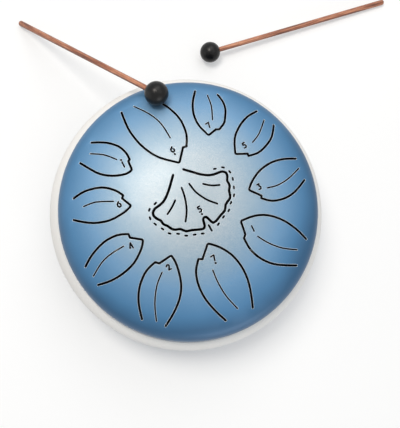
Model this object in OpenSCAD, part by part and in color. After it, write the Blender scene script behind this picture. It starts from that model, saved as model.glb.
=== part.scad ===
// Steel tongue drum, 8 inch class with eleven notes, on three rubber feet, with its pair of mallets.
// The origin is on the drum's axis, in the plane that the feet stand on.

/* [Shells] */
// Height from the table to the top of the crown
drum_h = 96; // [85:1:120]
// Outer diameter of the steel wall
wall_d = 189; // [188:1:200]
// Thickness of the pressed steel sheet
sheet_t = 1.2; // [0.8:0.1:1.6]
// Height of the seam where the two shells meet
seam_z = 46; // [40:1:52]
// Radius of the domed crown
crown_r = 223; // [200:1:400]
// Outer radius of the upper shell's shoulder
shoulder_r = 12; // [8:0.5:13]
// Outer radius of the bend from the floor to the lower wall
floor_bend_r = 15; // [8:0.5:20]
// Width of the flange that stands out from each wall at the seam
flange_w = 4; // [3:0.5:6]
// Diameter of the sound port in the floor
port_d = 40; // [25:1:60]

/* [Slits] */
// Width of the slits that free the tongues
slit_w = 1.6; // [1.2:0.1:1.7]
// Width of the vein slits in the tongues
vein_w = 1; // [0.7:0.1:1.2]
// Width of the slit around the leaf
leaf_slit_w = 1.8; // [1.3:0.1:1.9]
// Width of the leaf's veins and dashes
leaf_vein_w = 1.4; // [0.9:0.1:1.5]
// Width of plain crown between the tongues' roots and the shoulder
root_margin = 3.5; // [2.9:0.1:6]
// Radius of the slit's middle line around each tongue's tip
tip_round_r = 1.1; // [1:0.1:1.4]

/* [Tongue lengths] */
// Length of the low 6 tongue
low_six_len = 53.2; // [45:0.1:56]
// Length of the high 1 tongue
high_one_len = 35.1; // [30:0.1:38]
// Length of the 6 tongue
six_len = 41.6; // [36:0.1:44]
// Length of the 4 tongue
four_len = 42.7; // [38:0.1:46]
// Length of the 2 tongue
two_len = 46.7; // [40:0.1:49]
// Length of the low 7 tongue
low_seven_len = 56.3; // [48:0.1:58]
// Length of the 1 tongue
one_len = 49.4; // [42:0.1:50]
// Length of the 3 tongue
three_len = 43.2; // [38:0.1:46]
// Length of the 5 tongue
five_len = 36.2; // [32:0.1:39]
// Length of the 7 tongue
seven_len = 32.5; // [29:0.1:35]

/* [Tongue directions] */
// Direction of the low 6 tongue, in degrees from +X
low_six_deg = 119.5; // [118:0.1:121]
// Direction of the high 1 tongue
high_one_deg = 152.8; // [152:0.1:154]
// Direction of the 6 tongue
six_deg = 181.1; // [180:0.1:182]
// Direction of the 4 tongue
four_deg = 214.6; // [213:0.1:216]
// Direction of the 2 tongue
two_deg = 252.2; // [251:0.1:254]
// Direction of the low 7 tongue
low_seven_deg = 294.3; // [293:0.1:296]
// Direction of the 1 tongue
one_deg = 338.6; // [337:0.1:340]
// Direction of the 3 tongue
three_deg = 20.4; // [19:0.1:22]
// Direction of the 5 tongue
five_deg = 51; // [50:0.1:52]
// Direction of the 7 tongue
seven_deg = 82.9; // [82:0.1:84]

/* [Leaf] */
// Size of the ginkgo leaf that is the low 5 tongue
leaf_span = 50; // [45:0.5:51]

/* [Numbers] */
// Height of a number, between its strokes' middles
number_h = 4; // [3.8:0.1:4.5]
// Width of a number's strokes
number_stroke_w = 1.1; // [0.7:0.05:1.15]
// Diameter of the dot beside a low or high note's number
dot_d = 1.6; // [1:0.1:1.7]
// Turn of every number, counterclockwise
number_turn_deg = 27; // [20:1:35]

/* [Edge band] */
// Thickness of the rubber band outside the flanges, which makes it the widest piece of the drum
band_cover = 5; // [4:0.5:8]
// Height of the band
band_h = 24; // [20:1:26]
// Radius of the band's bulging side
band_bulge_r = 14; // [14:0.5:30]
// Radius of the bead along the band's upper and lower lips
band_bead_r = 1.5; // [1:0.1:2]
// Clearance between the band and the steel it grips
band_gap = 0.1; // [0.05:0.05:0.3]

/* [Feet] */
// Height of a rubber foot
foot_h = 8; // [6:0.5:12]
// Diameter of a foot where it meets the floor
foot_top_d = 22; // [18:1:28]
// Diameter of a foot where it stands on the table
foot_base_d = 18; // [16:1:22]
// Height of the straight rim at the top of a foot
foot_rim_h = 2.5; // [1:0.5:3]
// Chamfer around the base of a foot
foot_chamfer = 1; // [0.5:0.1:1.5]
// Distance from the drum's axis to each foot
foot_place_r = 62; // [50:1:66]
// Direction of the first foot
foot_first_deg = 90; // [0:1:119]

/* [Foot fasteners] */
// Diameter of the foot screws
screw_d = 4; // [3:0.5:5]
// Diameter of a screw's head
screw_head_d = 7; // [6.5:0.5:9]
// Height of a screw's head
screw_head_h = 2.4; // [1.8:0.1:3]
// Length of the cross recess in a screw's head
drive_len = 4; // [3:0.1:4.5]
// Width of the cross recess
drive_w = 1; // [0.6:0.1:1.4]
// Depth of the cross recess
drive_depth = 1.2; // [0.8:0.1:1.5]
// Length of thread that stands out of the nut
thread_out = 1; // [0.5:0.1:2]
// Diameter of the washers
washer_d = 9; // [8:0.5:12]
// Thickness of the washers
washer_t = 0.8; // [0.5:0.1:1.5]
// Width of the nuts across their corners
nut_corner_d = 8.1; // [7.5:0.1:10]
// Height of the nuts
nut_h = 3.2; // [2.4:0.1:4]
// Depth of the recess that takes the screw's head
head_recess_h = 4; // [3:0.1:5]
// Clearance around a screw's head
head_gap = 0.8; // [0.4:0.1:1.5]
// Clearance around a screw where it passes through
bolt_gap = 0.2; // [0.1:0.05:0.3]
// Clearance between a screw's shank and its nut
thread_gap = 0.05; // [0.02:0.01:0.1]

/* [Mallets] */
// Diameter of a mallet's rubber head
head_d = 17; // [14:0.5:20]
// Length from the middle of the head to the stick's far end
mallet_len = 165; // [150:1:175]
// Diameter of the stick at the head
stick_neck_d = 4; // [3.5:0.1:4.4]
// Diameter of the stick at its far end
stick_end_d = 4.6; // [4.4:0.1:5.5]
// Radius of the rounding at the stick's far end
stick_round_r = 1.4; // [0.8:0.1:2]
// Chamfer at the stick's end inside the head
stick_chamfer = 0.6; // [0.3:0.1:0.8]
// Depth of the hole in the head that takes the stick
stick_socket_h = 11; // [8:0.5:13]
// Clearance for glue around the stick in the head
glue_gap = 0.05; // [0.02:0.01:0.1]
// Clearance under a mallet that lies on the drum or the table
rest_gap = 0.3; // [0.1:0.1:0.5]
// Distance from the drum's axis to the first mallet's head, which lies on the crown
mallet_1_r = 83.4; // [80:0.1:85]
// Direction from the drum's axis to the first mallet's head
mallet_1_deg = 107.8; // [100:0.1:115]
// Heading of the first mallet's stick
mallet_1_heading = 143.6; // [138:0.1:148]
// Distance from the drum's axis to the second mallet's head, which lies on the table
mallet_2_r = 142.2; // [138:0.1:150]
// Direction from the drum's axis to the second mallet's head
mallet_2_deg = 81.5; // [78:0.1:86]
// Heading of the second mallet's stick
mallet_2_heading = 19; // [15:0.1:24]

/* [Hidden] */
$fn = 96;
// Number of feet, one node each
foot_count = 3;
// How far a cut runs past the solid that it cuts
overrun = 1;
// Points on each stretch of a drawn curve, and on each of the leaf's shorter ones
curve_steps = 3;
outline_steps = 2;
// Edges on each rounded end of a slit
cap_steps = 3;
// Edges around a tongue's tip
arc_steps = 4;
// Edges around the outside of a sharp corner, and the turn from which a corner is sharp
join_steps = 2;
sharp_deg = 40;
// How far the shoulder's arc stands proud of the crown's at their meeting, so that the two cross,
// as a share of its radius
proud_share = 0.0008;

// Places that follow from the shells' sizes
wall_r = wall_d / 2;
flange_r = wall_r + flange_w;
band_r = flange_r + band_cover;
crown_z = drum_h - crown_r;
shoulder_x = wall_r - shoulder_r;
shoulder_reach = crown_r - shoulder_r * (1 - proud_share);
shoulder_z = crown_z + sqrt(pow(shoulder_reach, 2) - pow(shoulder_x, 2));
shoulder_deg = atan2(shoulder_z - crown_z, shoulder_x);
floor_bend_x = wall_r - floor_bend_r;
floor_bend_z = foot_h + floor_bend_r;
crown_edge_r = shoulder_x + shoulder_r * cos(shoulder_deg);
root_r = crown_edge_r - root_margin;
slit_cut_h = drum_h - shoulder_z + overrun;

// Sizes that follow from the feet and their fasteners
bolt_hole_r = screw_d / 2 + bolt_gap;
head_recess_r = screw_head_d / 2 + head_gap;
washer_z = foot_h + sheet_t;
nut_z = washer_z + washer_t;
screw_top_z = nut_z + nut_h + thread_out;

// Places that follow from the mallets' sizes
head_r = head_d / 2;
stick_end_z = stick_end_d / 2 + rest_gap;
head_1_reach = crown_r + head_r + rest_gap;
head_1_z = crown_z + sqrt(pow(head_1_reach, 2) - pow(mallet_1_r, 2));
head_2_z = head_r + rest_gap;

// Each tongue's shape, in shares of its own length. A point's first share runs inward from the root
// and its second runs counterclockwise. The plain side ends at the tip, the notched side starts with
// the notch's inner and outer corners, and the vein and the number's middle follow.
low_six_shares = [
    [[0, 0.19], [0.24, 0.225], [0.43, 0.215], [0.605, 0.175], [0.805, 0.075], [1, -0.12]],
    [[0.84, -0.265], [0.85, -0.31], [0.705, -0.395], [0.5, -0.43], [0.315, -0.4], [0.15, -0.33], [0, -0.2]],
    [[0.01, 0.005], [0.21, -0.115], [0.41, -0.18], [0.645, -0.185]],
    [0.8, -0.13]
];
high_one_shares = [
    [[0, 0.235], [0.23, 0.257], [0.46, 0.263], [0.71, 0.19], [0.93, 0.04], [1, -0.085]],
    [[0.85, -0.21], [0.86, -0.25], [0.74, -0.335], [0.55, -0.393], [0.34, -0.375], [0.17, -0.32], [0, -0.235]],
    [[0.09, -0.02], [0.35, -0.115], [0.63, -0.14]],
    [0.795, -0.105]
];
six_shares = [
    [[0.04, 0.18], [0.15, 0.21], [0.38, 0.245], [0.645, 0.21], [0.88, 0.09], [1, -0.02]],
    [[0.85, -0.145], [0.87, -0.195], [0.73, -0.285], [0.51, -0.34], [0.23, -0.29], [0.04, -0.18]],
    [[0.21, -0.035], [0.415, -0.1], [0.71, -0.1]],
    [0.8, -0.045]
];
four_shares = [
    [[0, 0.18], [0.22, 0.243], [0.455, 0.255], [0.69, 0.213], [0.9, 0.095], [1, -0.005]],
    [[0.847, -0.15], [0.86, -0.21], [0.7, -0.3], [0.46, -0.33], [0.19, -0.27], [0, -0.18]],
    [[0.02, 0.02], [0.25, -0.08], [0.46, -0.11], [0.69, -0.095]],
    [0.79, -0.035]
];
two_shares = [
    [[0, 0.173], [0.22, 0.222], [0.45, 0.235], [0.665, 0.187], [0.9, 0.04], [1.01, -0.08]],
    [[0.845, -0.21], [0.845, -0.27], [0.73, -0.335], [0.6, -0.37], [0.405, -0.37], [0.2, -0.31], [-0.01, -0.19]],
    [[0.03, 0.02], [0.27, -0.085], [0.53, -0.14], [0.735, -0.13]],
    [0.83, -0.065]
];
low_seven_shares = [
    [[0.04, 0.186], [0.21, 0.23], [0.4, 0.258], [0.59, 0.244], [0.765, 0.184], [0.905, 0.085], [1, -0.025]],
    [[0.853, -0.16], [0.874, -0.205], [0.755, -0.288], [0.59, -0.327], [0.4, -0.317], [0.2, -0.257], [0.04, -0.186]],
    [[0.115, 0.005], [0.31, -0.065], [0.51, -0.097], [0.68, -0.097]],
    [0.81, -0.035]
];
one_shares = [
    [[-0.02, 0.205], [0.185, 0.274], [0.42, 0.31], [0.655, 0.286], [0.84, 0.2], [1, 0.055]],
    [[0.87, -0.095], [0.87, -0.15], [0.715, -0.265], [0.52, -0.32], [0.325, -0.318], [0.13, -0.262], [-0.02, -0.205]],
    [[0.06, 0.005], [0.285, -0.06], [0.505, -0.075], [0.695, -0.05]],
    [0.8, 0.025]
];
three_shares = [
    [[0, 0.186], [0.225, 0.242], [0.465, 0.248], [0.7, 0.183], [0.89, 0.06], [1, -0.06]],
    [[0.83, -0.213], [0.848, -0.25], [0.69, -0.347], [0.465, -0.378], [0.24, -0.332], [-0.01, -0.2]],
    [[0.015, 0.015], [0.25, -0.085], [0.485, -0.137], [0.69, -0.125]],
    [0.815, -0.065]
];
five_shares = [
    [[-0.04, 0.222], [0.205, 0.294], [0.49, 0.288], [0.755, 0.205], [1, 0.005]],
    [[0.828, -0.172], [0.853, -0.213], [0.67, -0.32], [0.44, -0.355], [0.2, -0.335], [-0.04, -0.222]],
    [[0.01, -0.005], [0.33, -0.1], [0.57, -0.108]],
    [0.735, -0.02]
];
seven_shares = [
    [[-0.02, 0.247], [0.26, 0.272], [0.55, 0.225], [0.795, 0.09], [1, -0.148]],
    [[0.836, -0.293], [0.824, -0.367], [0.675, -0.45], [0.555, -0.469], [0.31, -0.46], [0.12, -0.38], [-0.02, -0.26]],
    [[0.035, -0.035], [0.295, -0.145], [0.625, -0.197]],
    [0.77, -0.115]
];

// Each tongue's length, direction, shape, number, and its dot: 1 above the number, -1 below, 0 none
TONGUES = [
    [low_six_len, low_six_deg, low_six_shares, 6, -1],
    [high_one_len, high_one_deg, high_one_shares, 1, 1],
    [six_len, six_deg, six_shares, 6, 0],
    [four_len, four_deg, four_shares, 4, 0],
    [two_len, two_deg, two_shares, 2, 0],
    [low_seven_len, low_seven_deg, low_seven_shares, 7, -1],
    [one_len, one_deg, one_shares, 1, 0],
    [three_len, three_deg, three_shares, 3, 0],
    [five_len, five_deg, five_shares, 5, 0],
    [seven_len, seven_deg, seven_shares, 7, 0]
];

// The ginkgo leaf, in shares of its span from its own origin: the outline from one side of the stalk
// to the other, the veins, the dashes along each lobe, the dash in the cleft and the number's middle
leaf_shares = [
    [-0.28, 0.43], [-0.335, 0.23], [-0.375, 0.125], [-0.415, 0.055], [-0.47, 0.005], [-0.525, -0.035],
    [-0.55, -0.09], [-0.535, -0.14], [-0.48, -0.18], [-0.44, -0.2], [-0.41, -0.245], [-0.35, -0.27],
    [-0.295, -0.31], [-0.24, -0.32], [-0.18, -0.31], [-0.105, -0.34], [-0.025, -0.325], [0.12, -0.31],
    [0.15, -0.28], [0.145, -0.235], [0.13, -0.185], [0.14, -0.155], [0.17, -0.145], [0.2, -0.165],
    [0.235, -0.2], [0.27, -0.22], [0.315, -0.19], [0.365, -0.125], [0.43, -0.05], [0.44, 0.025],
    [0.47, 0.075], [0.505, 0.125], [0.5, 0.185], [0.49, 0.225], [0.5, 0.285], [0.485, 0.33],
    [0.465, 0.365], [0.47, 0.425], [0.45, 0.475], [0.4, 0.49], [0.35, 0.475], [0.29, 0.45],
    [0.23, 0.435], [0.15, 0.435], [0.05, 0.455], [-0.14, 0.51]
];
leaf_vein_shares = [
    [[-0.25, 0.08], [-0.295, -0.015], [-0.355, -0.11]],
    [[-0.165, 0.255], [-0.12, 0.12], [-0.095, -0.055], [-0.11, -0.21]],
    [[-0.06, 0.31], [0.03, 0.195], [0.175, 0.095], [0.325, 0.04]],
    [[0.13, 0.31], [0.245, 0.29], [0.36, 0.3]]
];
left_lobe_dash_shares = [
    [-0.52, 0.035], [-0.6, -0.05], [-0.59, -0.165], [-0.52, -0.245], [-0.42, -0.31],
    [-0.325, -0.37], [-0.21, -0.375], [-0.1, -0.4], [0.015, -0.385], [0.125, -0.37]
];
right_lobe_dash_shares = [
    [0.34, -0.24], [0.41, -0.14], [0.485, -0.05], [0.515, 0.055], [0.56, 0.16],
    [0.56, 0.27], [0.545, 0.39], [0.505, 0.49], [0.41, 0.55], [0.295, 0.525]
];
cleft_dash_shares = [[0.205, -0.255], [0.25, -0.33]];
leaf_number_share = [0.08, -0.04];
// Length of a dash between its rounded ends
dash_share = 0.03;
// Place of the leaf's origin, from the drum's axis
leaf_place_share = [0.004, -0.008];

// Strokes of the numbers 1 to 7, in shares of a number's height
number_shares = [
    [[0, 0.5], [0, -0.5]],
    [[-0.28, 0.25], [-0.05, 0.5], [0.22, 0.42], [0.24, 0.15], [-0.12, -0.42], [0.34, -0.42]],
    [[-0.24, 0.46], [0.22, 0.48], [0.02, 0.14], [0.28, -0.1], [0.16, -0.44], [-0.26, -0.42]],
    [[0.18, -0.5], [0.1, 0.5], [-0.36, -0.3], [-0.22, -0.3]],
    [[0.26, 0.48], [-0.18, 0.44], [-0.2, 0.1], [0.14, 0.06], [0.28, -0.2], [0.12, -0.46], [-0.24, -0.44]],
    [[0.14, 0.5], [-0.22, 0.2], [-0.3, -0.16], [-0.1, -0.46], [0.22, -0.38], [0.3, -0.08], [0.16, 0.1]],
    [[-0.3, 0.4], [0.3, 0.46], [0.06, -0.5]]
];
// Distance from a number's middle to its dot
dot_share = 0.92;

// Directions and turns of plan points
function unit(v) = v / norm(v);
function left_of(v) = [-v[1], v[0]];
function turned(p, deg) = [p[0] * cos(deg) - p[1] * sin(deg), p[0] * sin(deg) + p[1] * cos(deg)];

// One point on the smooth curve between b and c, whose neighbours are a and d
function curve_point(a, b, c, d, t) =
    (2 * b + (c - a) * t + (2 * a - 5 * b + 4 * c - d) * t * t + (3 * b - a - 3 * c + d) * t * t * t) / 2;

// A smooth curve through every point of p, with a given number of steps between neighbours
function curve(p, steps) = [
    for (i = [0 : len(p) - 2], k = [0 : steps - 1])
        curve_point(p[max(i - 1, 0)], p[i], p[i + 1], p[min(i + 2, len(p) - 1)], k / steps),
    p[len(p) - 1]
];

// The corner b, between a and c, where the path turns left, as an arc of radius r
function rounded(a, b, c, r) =
    let (
        d = unit(b - a),
        turn = acos(d * unit(c - b)),
        center = b - d * r * tan(turn / 2) + left_of(d) * r
    )
    [for (k = [0 : arc_steps]) center - turned(left_of(d), turn * k / arc_steps) * r];

// Directions into and out of point i of a path
function into(p, i) = unit(p[max(i, 1)] - p[max(i, 1) - 1]);
function out_of(p, i) = unit(p[min(i + 1, len(p) - 1)] - p[min(i, len(p) - 2)]);

// The edge of a slit beside point i of its path, on the left for side 1 and on the right for side -1.
// It is mitred, and rounded around the outside of a sharp corner.
function edge_points(p, i, w, side) =
    let (
        before = left_of(into(p, i)) * side,
        after = left_of(out_of(p, i)) * side,
        turn = acos(min(1, before * after)),
        across = unit(before + after),
        outside = across * (out_of(p, i) - into(p, i)) < 0
    )
    outside && turn > sharp_deg
        ? [for (k = [0 : join_steps]) p[i] + unit(before * (join_steps - k) + after * k) * w / 2]
        : [p[i] + across * w / 2 / (across * before)];

function edge_line(p, w, side) = [for (i = [0 : len(p) - 1]) each edge_points(p, i, w, side)];

function reversed(v) = [for (i = [len(v) - 1 : -1 : 0]) v[i]];

// The rounded end of a slit at p, where the slit runs in direction d
function round_cap(p, d, w) = [
    for (k = [1 : cap_steps - 1])
        let (a = 180 * k / cap_steps)
        p + (left_of(d) * cos(a) + d * sin(a)) * w / 2
];

// The outline of a slit of width w that follows the path p
function slit_outline(p, w) =
    concat(
        edge_line(p, w, 1),
        round_cap(p[len(p) - 1], out_of(p, len(p) - 1), w),
        reversed(edge_line(p, w, -1)),
        round_cap(p[0], -into(p, 0), w)
    );

// A point of a tongue's shape, as a place on the drum
function on_tongue(t, share) = turned([root_r - share[0] * t[0], share[1] * t[0]], t[1]);
function all_on_tongue(t, shares) = [for (share = shares) on_tongue(t, share)];

// The line of the slit around a tongue, from root to root
function tongue_path(t) =
    let (
        plain = curve(all_on_tongue(t, t[2][0]), curve_steps),
        notched = all_on_tongue(t, t[2][1]),
        side = curve([for (i = [1 : len(notched) - 1]) notched[i]], curve_steps),
        last = len(plain) - 1
    )
    concat(
        [for (i = [0 : last - 1]) plain[i]],
        rounded(plain[last - 1], plain[last], notched[0], tip_round_r),
        [notched[0]],
        side
    );

// A vertical cut through the crown, along a path
module slit(path, w) {
    translate([0, 0, shoulder_z])
        linear_extrude(height = slit_cut_h)
            polygon(slit_outline(path, w));
}

// A number cut at a place on the drum, with its dot above or below it
module number_cut(place, number, dot) {
    strokes = [for (p = number_shares[number - 1]) place + turned(p * number_h, number_turn_deg)];
    dot_place = place + turned([0, dot * dot_share * number_h], number_turn_deg);
    slit(strokes, number_stroke_w);
    if (dot != 0)
        translate([dot_place[0], dot_place[1], shoulder_z])
            cylinder(h = slit_cut_h, d = dot_d);
}

// A row of dashes that follow one lobe of the leaf
module dash_row(shares) {
    last = len(shares) - 1;
    for (i = [0 : last]) {
        along = unit(shares[min(i + 1, last)] - shares[max(i - 1, 0)]);
        slit([for (s = [-0.5, 0.5]) (shares[i] + along * dash_share * s) * leaf_span], leaf_vein_w);
    }
}

// All the cuts of one tongue: its slit, its vein and its number
module tongue_cuts(t) {
    slit(tongue_path(t), slit_w);
    slit(curve(all_on_tongue(t, t[2][2]), curve_steps), vein_w);
    number_cut(on_tongue(t, t[2][3]), t[3], t[4]);
}

// All the cuts of the ginkgo leaf
module leaf_cuts() {
    translate(leaf_place_share * leaf_span) {
        slit(curve(leaf_shares * leaf_span, outline_steps), leaf_slit_w);
        for (vein = leaf_vein_shares)
            slit(curve(vein * leaf_span, curve_steps), leaf_vein_w);
        dash_row(left_lobe_dash_shares);
        dash_row(right_lobe_dash_shares);
        slit(cleft_dash_shares * leaf_span, leaf_vein_w);
        number_cut(leaf_number_share * leaf_span, 5, -1);
    }
}

// The section that the upper shell's outline encloses, down to the table, drawn in by the given inset
module upper_region(inset) {
    bend_r = shoulder_r - inset;
    intersection() {
        translate([0, crown_z])
            circle(r = crown_r - inset, $fn = 360);
        union() {
            square([shoulder_x + bend_r * cos(shoulder_deg), drum_h]);
            square([wall_r - inset, shoulder_z]);
            intersection() {
                translate([shoulder_x, shoulder_z])
                    circle(r = bend_r, $fn = 360);
                translate([0, shoulder_z])
                    square([wall_r, shoulder_r]);
            }
        }
    }
}

// The section that the lower shell's outline encloses, past the seam, drawn in by the given inset
module lower_region(inset) {
    wall_h = seam_z + overrun - floor_bend_z;
    intersection() {
        translate([floor_bend_x, floor_bend_z])
            circle(r = floor_bend_r - inset, $fn = 360);
        translate([floor_bend_x, 0])
            square([floor_bend_r, floor_bend_z]);
    }
    translate([0, foot_h + inset])
        square([floor_bend_x, floor_bend_r]);
    translate([0, floor_bend_z])
        square([wall_r - inset, wall_h]);
}

// The section of the flange whose lower face is at height z
module flange(z) {
    translate([wall_r - sheet_t, z])
        square([sheet_t + flange_w, sheet_t]);
}

module top_shell() {
    color("steelblue")
        difference() {
            rotate_extrude() {
                difference() {
                    upper_region(0);
                    upper_region(sheet_t);
                    square([wall_d, seam_z]);
                }
                flange(seam_z);
            }
            for (t = TONGUES)
                tongue_cuts(t);
            leaf_cuts();
        }
}

module bottom_shell() {
    color("steelblue")
        difference() {
            rotate_extrude() {
                difference() {
                    lower_region(0);
                    lower_region(sheet_t);
                    translate([0, seam_z])
                        square([wall_d, 2 * overrun]);
                    square([port_d / 2, seam_z]);
                }
                flange(seam_z - sheet_t);
            }
            at_feet()
                translate([0, 0, foot_h - overrun])
                    cylinder(h = sheet_t + 2 * overrun, r = bolt_hole_r);
        }
}

// The band's section, whose groove takes both flanges
module band_section() {
    inner_r = wall_r + band_gap;
    flat_h = band_h - band_bead_r;
    groove_h = 2 * (sheet_t + band_gap);
    difference() {
        union() {
            intersection() {
                translate([band_r - band_bulge_r, 0])
                    circle(r = band_bulge_r, $fn = 360);
                translate([inner_r, -flat_h / 2])
                    square([band_r, flat_h]);
            }
            for (side = [-1, 1])
                translate([inner_r + band_bead_r, side * (band_h / 2 - band_bead_r)])
                    circle(r = band_bead_r);
        }
        translate([0, -groove_h / 2])
            square([flange_r + band_gap, groove_h]);
    }
}

module edge_ring() {
    color("ivory")
        translate([0, 0, seam_z])
            rotate_extrude()
                band_section();
}

// The children at every foot's place
module at_feet() {
    for (i = [0 : foot_count - 1])
        at_foot(i)
            children();
}

module at_foot(i) {
    rotate(foot_first_deg + i * 360 / foot_count)
        translate([foot_place_r, 0, 0])
            children();
}

module foot(i) {
    color("dimgray")
        at_foot(i)
            rotate_extrude()
                polygon([
                    [bolt_hole_r, foot_h],
                    [foot_top_d / 2, foot_h],
                    [foot_top_d / 2, foot_h - foot_rim_h],
                    [foot_base_d / 2, foot_chamfer],
                    [foot_base_d / 2 - foot_chamfer, 0],
                    [head_recess_r, 0],
                    [head_recess_r, head_recess_h],
                    [bolt_hole_r, head_recess_h]
                ]);
}

module foot_screws() {
    color("silver")
        at_feet() {
            difference() {
                translate([0, 0, head_recess_h - screw_head_h])
                    cylinder(h = screw_head_h, d = screw_head_d);
                for (turn = [0, 90])
                    rotate(turn)
                        translate([-drive_len / 2, -drive_w / 2, head_recess_h - screw_head_h - overrun])
                            cube([drive_len, drive_w, drive_depth + overrun]);
            }
            translate([0, 0, head_recess_h])
                cylinder(h = screw_top_z - head_recess_h, d = screw_d);
        }
}

module foot_washers() {
    color("silver")
        at_feet()
            translate([0, 0, washer_z])
                difference() {
                    cylinder(h = washer_t, d = washer_d);
                    translate([0, 0, -overrun])
                        cylinder(h = washer_t + 2 * overrun, r = bolt_hole_r);
                }
}

module foot_nuts() {
    color("silver")
        at_feet()
            translate([0, 0, nut_z])
                difference() {
                    cylinder(h = nut_h, d = nut_corner_d, $fn = 6);
                    translate([0, 0, -overrun])
                        cylinder(h = nut_h + 2 * overrun, r = screw_d / 2 + thread_gap);
                }
}

// The children along a mallet: its head's middle at the origin and its stick toward +Z
module at_mallet(place_r, place_deg, head_z, heading) {
    drop_deg = asin((head_z - stick_end_z) / mallet_len);
    translate([place_r * cos(place_deg), place_r * sin(place_deg), head_z])
        rotate([0, 90 + drop_deg, heading])
            children();
}

module at_mallet_1() {
    at_mallet(mallet_1_r, mallet_1_deg, head_1_z, mallet_1_heading)
        children();
}

module at_mallet_2() {
    at_mallet(mallet_2_r, mallet_2_deg, head_2_z, mallet_2_heading)
        children();
}

module stick() {
    neck_z = head_r - stick_socket_h + glue_gap;
    round_z = mallet_len - stick_round_r;
    round_x = stick_end_d / 2 - stick_round_r;
    color("sienna")
        rotate_extrude() {
            polygon([
                [0, neck_z],
                [stick_neck_d / 2 - stick_chamfer, neck_z],
                [stick_neck_d / 2, neck_z + stick_chamfer],
                [stick_neck_d / 2, head_r],
                [stick_end_d / 2, round_z],
                [0, round_z]
            ]);
            translate([0, round_z])
                square([round_x, stick_round_r]);
            intersection() {
                translate([round_x, round_z])
                    circle(r = stick_round_r);
                translate([round_x, round_z])
                    square([stick_round_r, stick_round_r]);
            }
        }
}

module head() {
    color("dimgray")
        difference() {
            sphere(r = head_r);
            translate([0, 0, head_r - stick_socket_h])
                cylinder(h = stick_socket_h + overrun, r = stick_neck_d / 2 + glue_gap);
        }
}

top_shell();
bottom_shell();
edge_ring();
foot(0);  // foot_1
foot(1);  // foot_2
foot(2);  // foot_3
foot_screws();
foot_washers();
foot_nuts();
at_mallet_1() stick();  // mallet_1_stick
at_mallet_1() head();  // mallet_1_head
at_mallet_2() stick();  // mallet_2_stick
at_mallet_2() head();  // mallet_2_head
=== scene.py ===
"""Studio scene of an eight inch steel tongue drum with its rubber band, feet and pair of mallets."""

import logging
import math
from collections.abc import Mapping, Sequence
from dataclasses import dataclass, field
from enum import Enum
from typing import Any

import bmesh
import bpy
from mathutils import Matrix, Vector


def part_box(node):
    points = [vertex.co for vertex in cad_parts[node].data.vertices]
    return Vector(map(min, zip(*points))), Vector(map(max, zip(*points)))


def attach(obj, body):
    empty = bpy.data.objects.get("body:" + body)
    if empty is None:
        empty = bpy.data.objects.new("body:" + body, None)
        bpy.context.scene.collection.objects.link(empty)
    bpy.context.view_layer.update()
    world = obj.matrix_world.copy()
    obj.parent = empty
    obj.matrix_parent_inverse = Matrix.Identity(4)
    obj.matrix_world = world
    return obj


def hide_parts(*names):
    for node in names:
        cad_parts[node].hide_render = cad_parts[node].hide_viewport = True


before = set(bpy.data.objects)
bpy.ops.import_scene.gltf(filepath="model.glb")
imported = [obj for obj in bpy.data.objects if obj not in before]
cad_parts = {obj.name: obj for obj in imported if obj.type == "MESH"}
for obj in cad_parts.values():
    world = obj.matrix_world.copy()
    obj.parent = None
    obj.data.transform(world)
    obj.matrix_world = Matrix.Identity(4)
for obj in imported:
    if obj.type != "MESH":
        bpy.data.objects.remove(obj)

log = logging.getLogger("tongue_drum")
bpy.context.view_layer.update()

# A millimetre in metres
MM = 0.001
# Distance under which two points of a turned piece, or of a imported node, are one point
TURNED_MERGE = 1e-7
PACKED_MERGE = 2e-7
# Decimals, in metres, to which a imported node's points are told apart
POINT_DECIMALS = 7
# Value that a cloudy pattern has on average
CLOUD_MIDDLE = 0.5

Material = bpy.types.Material
Mesh = bmesh.types.BMesh
Piece = bpy.types.Object
Socket = bpy.types.NodeSocket
Colour = tuple[float, float, float]
# Places of a colour ramp's colours
Stops = tuple[tuple[float, Colour], ...]
# Values of a pattern at which its effect starts and at which it is full
Span = tuple[float, float]


class Slot(Enum):
    """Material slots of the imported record."""

    BLUE_PAINT = "blue_paint"
    CREAM_RUBBER = "cream_rubber"
    BLACK_RUBBER = "black_rubber"
    FOOT_RUBBER = "foot_rubber"
    PLATED_STEEL = "plated_steel"
    MALLET_WOOD = "mallet_wood"


class Body(Enum):
    """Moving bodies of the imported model."""

    DRUM = "drum"
    MALLET_1 = "mallet_1"
    MALLET_2 = "mallet_2"


def linear(colour: Colour) -> tuple[float, float, float, float]:
    """Turn a colour as seen on a screen into the linear one that a shader takes.

    Args:
        colour: Red, green and blue from 0 to 1, as on a screen.

    Returns:
        The linear colour with full alpha.
    """
    parts = [c / 12.92 if c <= 0.04045 else ((c + 0.055) / 1.055) ** 2.4 for c in colour]
    return (parts[0], parts[1], parts[2], 1.0)


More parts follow.
